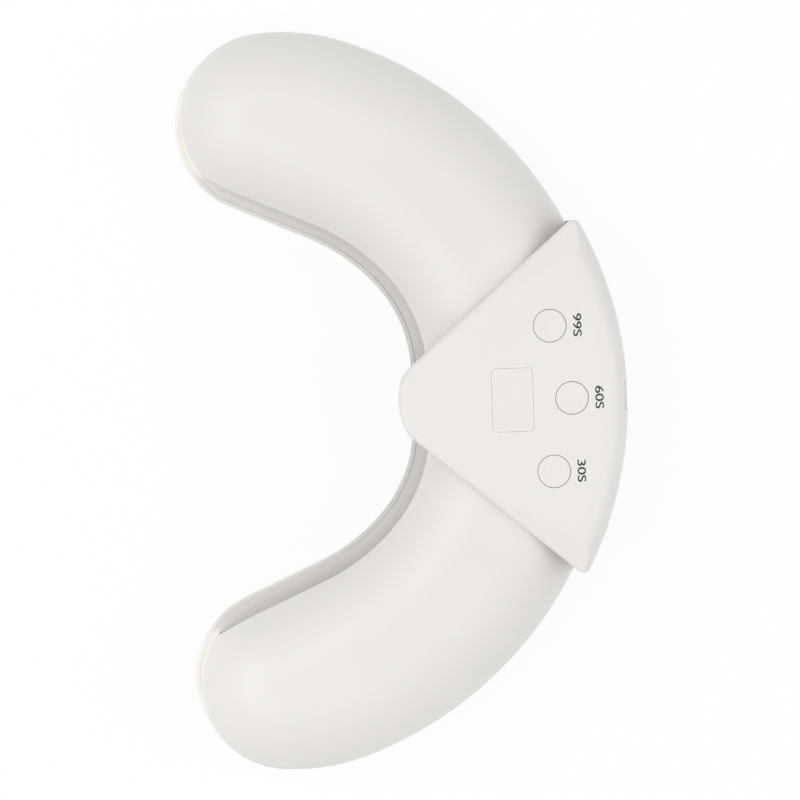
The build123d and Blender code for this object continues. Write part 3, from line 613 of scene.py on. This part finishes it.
class NAILLAMP_OT_feet(bpy.types.Operator):
    """Makes the rubber feet with round edges and a shallow hollow"""

    bl_idname = "nail_lamp.feet"
    bl_label = "Make the feet"

    def execute(self, context):
        setup = context.scene.nail_lamp_feet
        rubber = silicone_rubber("moulded_silicone_rubber")
        bodies = {"housing": "housing", "left": "left_arm", "right": "right_arm"}
        for prefix, body in bodies.items():
            feet = [self.foot(setup, solid) for solid in solids_of(f"{prefix}_feet")]
            piece = new_piece(f"{prefix}_feet_pads", feet, body, rubber)
            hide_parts(f"{prefix}_feet")
        return {"FINISHED"}

    def foot(self, setup, solid):
        """A disc with a round lower edge. Its underside has a hollow with sloping sides in the middle."""
        low, high = solid
        hollow, slope = 0.25 * MM, 0.3 * MM
        radius, floor = (high[0] - low[0]) / 2.0, low[2]
        edge = min(setup.edge, 0.4 * (high[2] - low[2]))
        profile = np.vstack([
            [(0.0, floor + hollow), (setup.ring - slope, floor + hollow), (setup.ring, floor)],
            round_end(radius - edge, floor + edge, edge, -90.0, 0.0),
            [(radius, high[2]), (0.0, high[2])],
        ])
        return lathe(profile, middle_of(solid)[0], count=48)


class NailLampButtons(bpy.types.PropertyGroup):
    """Button caps."""

    radius: bpy.props.FloatProperty(
        name="Cap radius", description="Radius of a cap in its hole",
        default=0.00470, unit="LENGTH", precision=5)
    edge: bpy.props.FloatProperty(
        name="Edge round", description="Round of a cap's upper edge",
        default=0.00035, unit="LENGTH", precision=5)
    dish: bpy.props.FloatProperty(
        name="Dish", description="Depth of the hollow on a cap for the fingertip",
        default=0.00012, unit="LENGTH", precision=5)


class NAILLAMP_OT_buttons(bpy.types.Operator):
    """Makes the button caps with round edges, a flange and a stem"""

    bl_idname = "nail_lamp.buttons"
    bl_label = "Make the buttons"

    def execute(self, context):
        setup = context.scene.nail_lamp_buttons
        white = moulded_white_abs("button_white_abs", *SHELL_TINTS, 0.34, grain_mm=0.2, depth_mm=0.008)
        for seconds in TIMES:
            cap = self.cap(setup, solids_of(f"button_{seconds}")[0])
            piece = new_piece(f"cap_{seconds}", [cap], f"button_{seconds}_cap", white)
            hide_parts(f"button_{seconds}")
        return {"FINISHED"}

    def cap(self, setup, solid):
        """From the stem's foot out to the flange, up to the cap's wall, round its edge and in along a face
        that sinks with the square of the way from its edge."""
        low, high = solid
        wall, plate, stem, bevel = 1.6 * MM, 0.8 * MM, 1.6 * MM, 0.1 * MM
        flange, foot = (high[0] - low[0]) / 2.0, low[2]
        ledge = high[2] - wall
        under = ledge - plate
        face = np.linspace(setup.radius - setup.edge, 0.0, 10)
        sunk = setup.dish * (1.0 - (face / face[0]) ** 2)
        profile = np.vstack([
            [(0.0, foot), (stem - bevel, foot), (stem, foot + bevel), (stem, under)],
            [(flange - bevel, under), (flange, under + bevel), (flange, ledge - bevel)],
            [(flange - bevel, ledge), (setup.radius, ledge)],
            round_end(setup.radius - setup.edge, high[2] - setup.edge, setup.edge, 0.0, 90.0, steps=7),
            np.stack([face, high[2] - sunk], axis=-1)[1:],
        ])
        return lathe(profile, middle_of(solid)[0], count=96)


class NailLampInlet(bpy.types.PropertyGroup):
    """Power inlet."""

    wall: bpy.props.FloatProperty(
        name="Wall", description="Sheet thickness of the inlet's shell",
        default=0.0003, unit="LENGTH", precision=4)
    contacts: bpy.props.IntProperty(
        name="Contacts", description="Contacts on each face of the tongue", default=6, min=1)


class NAILLAMP_OT_inlet(bpy.types.Operator):
    """Makes the power inlet: a drawn steel shell round a tongue with plated contacts"""

    bl_idname = "nail_lamp.inlet"
    bl_label = "Make the power inlet"

    def execute(self, context):
        setup = context.scene.nail_lamp_inlet
        low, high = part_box("power_inlet")
        centre = (np.array(low) + np.array(high)) / 2.0
        size = (high.x - low.x, high.z - low.z)
        bottom = low.y + 1.2 * MM
        steel = plated_metal("deep_drawn_steel", "#BDBCB8", 0.26, pitch_mm=0.4)
        shell = self.shell(setup.wall, centre, size, low.y, bottom, high.y)
        piece = new_piece("inlet_shell", [shell], "housing", steel)
        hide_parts("power_inlet")
        tongue = self.upright(slab((centre[0], -centre[2]), (5.0 * MM, 0.7 * MM), low=bottom,
                                   high=bottom + 4.6 * MM, corner=0.3 * MM, edge=0.15 * MM))
        new_piece("inlet_tongue", [tongue], "housing", moulded_epoxy("black_liquid_crystal_polymer"))
        strips = [self.contact(centre[0] + x, bottom, centre[2] + z)
                  for x in spread(setup.contacts, 0.7 * MM) for z in spread(2, 0.72 * MM)]
        white = moulded_white_abs("socket_surround_abs", *SHELL_TINTS, 0.38)
        new_piece("inlet_surround", [self.surround(centre, size, high.y)], "housing", white)
        gold = plated_metal("gold_plated_bronze", "#D9B45A", 0.22, pitch_mm=0.3)
        new_piece("inlet_contacts", strips, "housing", gold)
        return {"FINISHED"}

    def contact(self, x, bottom, z):
        """A flat strip along the tongue, partly sunk in its face."""
        half = 0.03 * MM
        return slab((x, bottom + 2.4 * MM), (0.34 * MM, 3.6 * MM), low=z - half, high=z + half,
                    corner=0.08 * MM, edge=0.02 * MM)

    def ring(self, size, reach, y):
        """The socket's outline at a place along Y, moved outwards by a reach. Its corners' radius is a hair
        less than half its height, which keeps the points of its quarter circles apart."""
        hair = 0.001 * MM
        width, height = size
        outline = rounded_outline(width + 2.0 * reach, height + 2.0 * reach, height / 2.0 + reach - hair)
        return upright_ring(outline, y)

    def surround(self, centre, size, mouth):
        """A flat frame in the wall's opening, its outer outline square and its inner one round like the
        shell: four rings, joined back to the first."""
        reach, gap, corner = 0.18 * MM, 0.02 * MM, 0.1 * MM
        front, back = mouth - 0.12 * MM, mouth - 1.45 * MM
        outer = rounded_outline(size[0] + 2.0 * reach, size[1] + 2.0 * reach, corner)
        rings = [upright_ring(outer, front), self.ring(size, gap, front), self.ring(size, gap, back),
                 upright_ring(outer, back), upright_ring(outer, front)]
        return skin(np.array(rings) + (centre[0], 0.0, centre[2]))

    def upright(self, part):
        """A part built along Z turned to lie along Y: x stays, y becomes -z and z becomes y."""
        corners, faces = part
        return np.stack([corners[:, 0], corners[:, 2], -corners[:, 1]], axis=-1), faces

    def shell(self, wall, centre, size, back, bottom, mouth):
        """Rings along Y: the outside from the closed back, which is drawn in a little, to the mouth, a
        round lip of half the wall, and the inside back to the socket's bottom."""
        lip = round_end(-wall / 2.0, mouth - wall / 2.0, wall / 2.0, 0.0, 180.0, steps=7)
        steps = np.vstack([[(-0.15 * MM, back), (0.0, mouth - wall)], lip, [(-wall, bottom)]])
        rings = [self.ring(size, reach, y) for reach, y in steps]
        rings = np.array([rings[0] * (0, 1, 0), *rings, rings[-1] * (0, 1, 0)])
        return skin(rings + (centre[0], 0.0, centre[2]))


class NailLampElectronics(bpy.types.PropertyGroup):
    """Small parts on the control board."""

    leads: bpy.props.IntProperty(
        name="Leads", description="Leads along each of two sides of a chip", default=4, min=2)
    digit: bpy.props.FloatProperty(
        name="Digit height", description="Height of a digit of the display",
        default=0.0060, unit="LENGTH", precision=4)


class NAILLAMP_OT_electronics(bpy.types.Operator):
    """Makes the chips with their leads, the push switches and the two-digit display"""

    bl_idname = "nail_lamp.electronics"
    bl_label = "Make the electronics"

    def execute(self, context):
        setup = context.scene.nail_lamp_electronics
        epoxy = moulded_epoxy("moulded_chip_epoxy")
        self.make_chips(setup, epoxy)
        self.make_switches(epoxy)
        self.make_display(setup, epoxy)
        return {"FINISHED"}

    def make_chips(self, setup, epoxy):
        """Black bodies a little above the board, on leads that stand on it."""
        tin = plated_metal("tinned_copper", "#C9CACB", 0.3, pitch_mm=0.3)
        chips = [middle_of(solid) for solid in solids_of("board_chips")]
        bodies = [slab(middle, (3.9 * MM, 4.9 * MM), low=low + 0.12 * MM, high=top, corner=0.12 * MM,
                       edge=0.1 * MM) for middle, low, top in chips]
        piece = new_piece("chip_bodies", bodies, "housing", epoxy)
        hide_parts("board_chips")
        leads = [self.lead(middle + (0.0, y), low, side) for middle, low, _ in chips
                 for y in spread(setup.leads, 1.15 * MM) for side in (-1.0, 1.0)]
        new_piece("chip_leads", leads, "housing", tin)

    def make_switches(self, epoxy):
        """Flat steel-covered bases, each with a round plunger in the middle."""
        cover = plated_metal("stamped_switch_steel", "#B4B5B6", 0.34, pitch_mm=0.3)
        switches = [middle_of(solid) for solid in solids_of("button_switches")]
        bases = [slab(middle, (4.5 * MM, 4.5 * MM), low=low, high=low + 0.8 * MM, corner=0.4 * MM,
                      edge=0.08 * MM) for middle, low, _ in switches]
        piece = new_piece("switch_bases", bases, "housing", cover)
        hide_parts("button_switches")
        plungers = [self.plunger(*switch) for switch in switches]
        new_piece("switch_plungers", plungers, "housing", epoxy)

    def make_display(self, setup, epoxy):
        """A black case with two digits of milky bars in its upper face."""
        low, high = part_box("display_module")
        middle = ((low.x + high.x) / 2.0, (low.y + high.y) / 2.0)
        case = slab(middle, (high.x - low.x, high.y - low.y), low=low.z, high=high.z - 0.05 * MM,
                    corner=0.3 * MM, edge=0.15 * MM)
        piece = new_piece("display_case", [case], "housing", epoxy)
        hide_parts("display_module")
        bars = [bar for x in spread(2, 6.6 * MM)
                for bar in self.digit(setup.digit, (middle[0] + x, middle[1]), high.z - 0.12 * MM, high.z)]
        milk = moulded_white_abs("milky_light_guide_epoxy", "#E3E6E4", "#ECEEEC", 0.3, grain_mm=0.15,
                                 depth_mm=0.006)
        new_piece("display_segments", bars, "housing", milk)

    def plunger(self, middle, low, top):
        """A round peg with a round upper edge, whose foot lies inside the base."""
        radius, edge, foot = 1.1 * MM, 0.15 * MM, low + 0.7 * MM
        profile = np.vstack([
            [(0.0, foot), (radius, foot)],
            round_end(radius - edge, top - edge, edge, 0.0, 90.0),
            [(0.0, top)],
        ])
        return lathe(profile, middle)

    def lead(self, middle, low, side):
        """A gull-wing lead: a flat strip carried along a path out of the body, down, and out on the board.
        Each point of the path has a ring of four corners, square to the path."""
        half_thick, half_wide = 0.06 * MM, 0.2 * MM
        path = np.array([(1.85, 0.5), (2.1, 0.5), (2.22, 0.42), (2.28, 0.14), (2.34, 0.06), (2.5, 0.06)]) * MM
        along = np.gradient(path, axis=0)
        along /= np.linalg.norm(along, axis=1)[:, None]
        across = np.stack([-along[:, 1], along[:, 0]], axis=-1) * half_thick
        faces = {sign: path + sign * across for sign in (-1, 1)}
        rings = np.stack([np.column_stack([side * faces[sign][:, 0], np.full(len(path), width),
                                           low + faces[sign][:, 1]])
                          for sign, width in ((-1, -half_wide), (-1, half_wide),
                                              (1, half_wide), (1, -half_wide))], axis=1)
        ends = rings[[0, -1]].mean(axis=1, keepdims=True) + np.zeros((1, 4, 1))
        return skin(np.concatenate([ends[:1], rings, ends[1:]]) + (*middle, 0.0))

    def digit(self, height, middle, low, high):
        """Seven bars of a digit as rounded blocks: three lying across and four standing, with small gaps."""
        half, thick, gap = height / 2.0, 0.8 * MM, 0.2 * MM
        lying, standing = (half - thick - gap, thick), (thick, half - thick)
        bars = [(0.0, row * (half - thick / 2.0), lying) for row in (-1.0, 0.0, 1.0)]
        bars += [(x * half / 2.0, y * half / 2.0, standing) for x in (-1.0, 1.0) for y in (-1.0, 1.0)]
        return [slab((middle[0] + x, middle[1] + y), size, low, high, corner=0.3 * MM, edge=0.04 * MM)
                for x, y, size in bars]


class NailLampLabels(bpy.types.PropertyGroup):
    """Printed times beside the buttons."""

    colour: bpy.props.StringProperty(
        name="Ink", description="Colour of the print, sRGB hex", default="#141416")
    size: bpy.props.FloatProperty(
        name="Letter size", description="Type size of the print",
        default=0.0034, unit="LENGTH", precision=4)
    stroke: bpy.props.FloatProperty(
        name="Stroke", description="What the ink adds on each side of a stroke",
        default=0.00003, unit="LENGTH", precision=5)
    film: bpy.props.FloatProperty(
        name="Film", description="Half the thickness of the ink",
        default=0.00001, unit="LENGTH", precision=5)
    wide: bpy.props.FloatProperty(
        name="Width", description="Widening of the letters", default=1.43)
    spacing: bpy.props.FloatProperty(
        name="Spacing", description="Spacing of the letters", default=0.957, precision=3)
    distance: bpy.props.FloatProperty(
        name="Distance", description="From a button's middle to its label's middle",
        default=0.0078, unit="LENGTH", precision=4)


class NAILLAMP_OT_labels(bpy.types.Operator):
    """Prints the time in seconds behind each button"""

    bl_idname = "nail_lamp.labels"
    bl_label = "Print the labels"

    def execute(self, context):
        setup = context.scene.nail_lamp_labels
        ink = printing_ink("pad_printing_ink", setup.colour)
        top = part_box("housing_cover")[1].z
        for seconds in TIMES:
            low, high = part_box(f"button_{seconds}")
            middle = (low + high) / 2.0
            mesh = self.print_mesh(context, setup, seconds)
            mesh.transform(Matrix.Translation((middle.x, middle.y + setup.distance, top + setup.film))
                           @ Matrix.Diagonal((setup.wide, 1.0, 1.0, 1.0)))
            mesh.materials.clear()
            mesh.materials.append(ink)
            label = bpy.data.objects.new(f"label_{seconds}", mesh)
            context.scene.collection.objects.link(label)
            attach(label, "housing")
        return {"FINISHED"}

    def print_mesh(self, context, setup, seconds):
        """The letters of a label as a thin solid mesh about the origin."""
        text = bpy.data.curves.new(f"print_{seconds}", "FONT")
        text.body = f"{seconds}S"
        text.size = setup.size
        text.space_character = setup.spacing
        text.offset = setup.stroke
        text.align_x = "CENTER"
        text.align_y = "CENTER"
        text.extrude = setup.film
        holder = bpy.data.objects.new(f"print_{seconds}", text)
        context.scene.collection.objects.link(holder)
        context.view_layer.update()
        mesh = bpy.data.meshes.new_from_object(holder.evaluated_get(context.evaluated_depsgraph_get()))
        bpy.data.objects.remove(holder)
        return mesh


class NAILLAMP_PT_sidebar(bpy.types.Panel):
    """Lists the steps and their sizes"""

    bl_label = "Nail Lamp"
    bl_idname = "NAILLAMP_PT_sidebar"
    bl_space_type = "VIEW_3D"
    bl_region_type = "UI"
    bl_category = "Nail Lamp"

    def draw(self, context):
        for operator, settings in STEPS:
            box = self.layout.box()
            box.operator(operator.bl_idname)
            if settings:
                group = getattr(context.scene, settings[0])
                for key in settings[1].__annotations__:
                    box.prop(group, key)


STEPS = (
    (NAILLAMP_OT_stage, ("nail_lamp_stage", NailLampStage)),
    (NAILLAMP_OT_finish_nodes, None),
    (NAILLAMP_OT_lights, ("nail_lamp_lights", NailLampLights)),
    (NAILLAMP_OT_screws, ("nail_lamp_screws", NailLampScrews)),
    (NAILLAMP_OT_feet, ("nail_lamp_feet", NailLampFeet)),
    (NAILLAMP_OT_buttons, ("nail_lamp_buttons", NailLampButtons)),
    (NAILLAMP_OT_inlet, ("nail_lamp_inlet", NailLampInlet)),
    (NAILLAMP_OT_electronics, ("nail_lamp_electronics", NailLampElectronics)),
    (NAILLAMP_OT_labels, ("nail_lamp_labels", NailLampLabels)),
)


def register():
    for operator, settings in STEPS:
        bpy.utils.register_class(operator)
        if settings:
            bpy.utils.register_class(settings[1])
            setattr(bpy.types.Scene, settings[0], bpy.props.PointerProperty(type=settings[1]))
    bpy.utils.register_class(NAILLAMP_PT_sidebar)


def unregister():
    bpy.utils.unregister_class(NAILLAMP_PT_sidebar)
    for operator, settings in reversed(STEPS):
        bpy.utils.unregister_class(operator)
        if settings:
            delattr(bpy.types.Scene, settings[0])
            bpy.utils.unregister_class(settings[1])


def main():
    """Runs the steps in order."""
    register()
    for operator, _ in STEPS:
        group, name = operator.bl_idname.split(".")
        getattr(getattr(bpy.ops, group), name)()


if __name__ == "__main__":
    main()
